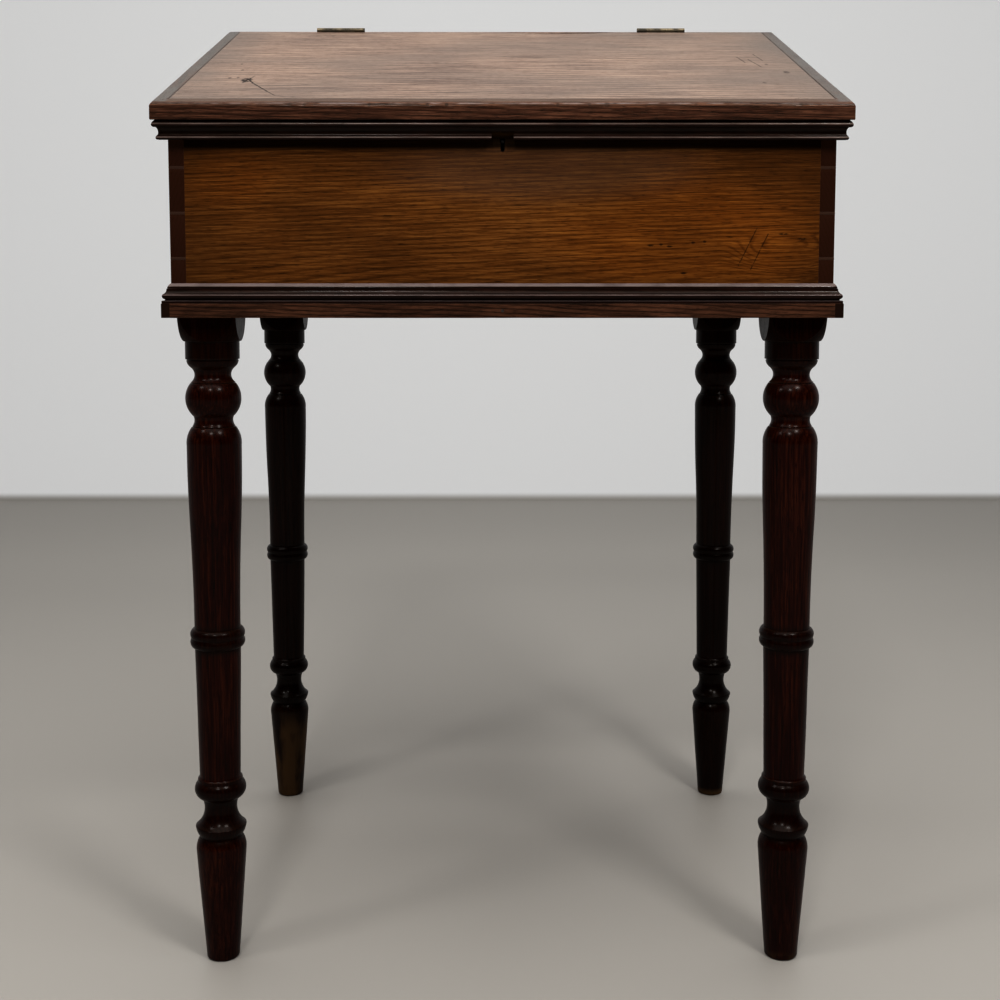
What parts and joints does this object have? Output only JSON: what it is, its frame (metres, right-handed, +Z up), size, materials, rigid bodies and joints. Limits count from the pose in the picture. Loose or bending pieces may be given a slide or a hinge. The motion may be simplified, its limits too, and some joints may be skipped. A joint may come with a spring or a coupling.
{
  "type": "clerk's standing desk",
  "caption": "Tall writing desk on turned legs: a dovetailed box with a sloping hinged lid, a flat ledge behind it and a small lock.",
  "frame": {"origin": "on the floor, under the middle of the desk's outer box", "axes": "+Z up, -Y towards the person standing at the desk, +X to that person's right"},
  "size_m": [0.7306, 0.5802, 1.0995],
  "materials": {
    "front_oak": "old polished oak, golden brown, worn",
    "case_oak": "old oak, waxed",
    "top_oak": "worn oak, dry and greyed by use",
    "edging_oak": "dark worn oak edging",
    "dark_moulding": "dark stained moulding, polished on its beads",
    "dark_leg": "dark stained turning, shellac polish",
    "inner_pine": "bare softwood, darkened by age",
    "hinge_brass": "tarnished brass",
    "lock_iron": "dull iron, lightly rusted",
    "spring_steel": "dull steel",
    "fastener_iron": "dark iron"
  },
  "bodies": {
    "case": {"front_board": "front_oak", "left_side_board": "case_oak", "right_side_board": "case_oak", "back_board": "case_oak", "top_ledge": "top_oak", "ledge_edging_left": "edging_oak", "ledge_edging_right": "edging_oak", "ledge_moulding_left": "dark_moulding", "ledge_moulding_right": "dark_moulding", "base_moulding_front": "dark_moulding", "base_moulding_left": "dark_moulding", "base_moulding_right": "dark_moulding", "base_fascia_front": "dark_moulding", "base_fascia_left": "dark_moulding", "base_fascia_right": "dark_moulding", "leg_front_left": "dark_leg", "leg_front_right": "dark_leg", "leg_back_left": "dark_leg", "leg_back_right": "dark_leg", "bottom_board_front": "inner_pine", "bottom_board_middle": "inner_pine", "bottom_board_back": "inner_pine", "corner_block_front_left": "inner_pine", "corner_block_front_right": "inner_pine", "corner_block_back_left": "inner_pine", "corner_block_back_right": "inner_pine", "hinge_left_fixed_leaf": "hinge_brass", "hinge_right_fixed_leaf": "hinge_brass", "lock_plate": "lock_iron", "lock_cap": "lock_iron", "lock_spring": "spring_steel", "lock_key_pin": "spring_steel", "hinge_left_pin": "spring_steel", "hinge_right_pin": "spring_steel", "hinge_screws_ledge": "fastener_iron", "lock_screws": "fastener_iron", "fascia_nails": "fastener_iron", "bottom_nails": "fastener_iron", "ledge_nails": "fastener_iron"},
    "lid": {"lid_board": "top_oak", "lid_edging_front": "edging_oak", "lid_edging_left": "edging_oak", "lid_edging_right": "edging_oak", "lid_moulding_front": "dark_moulding", "lid_moulding_left": "dark_moulding", "lid_moulding_right": "dark_moulding", "hinge_left_lid_leaf": "hinge_brass", "hinge_right_lid_leaf": "hinge_brass", "hinge_screws_lid": "fastener_iron", "lock_keeper": "lock_iron", "keeper_screws": "fastener_iron"},
    "lock_bolt": {"lock_bolt": "lock_iron"}
  },
  "joints": [
    {"name": "lid_hinge", "type": "hinge", "parent": "case", "child": "lid", "pos_m": [0, 0.13085, 1.09647], "axis": [-1, 0, 0], "range_deg": [0, 198]},
    {"name": "lock_bolt_slide", "type": "slide", "parent": "case", "child": "lock_bolt", "axis": [1, 0, 0], "range_m": [0, 0.006]}
  ]
}
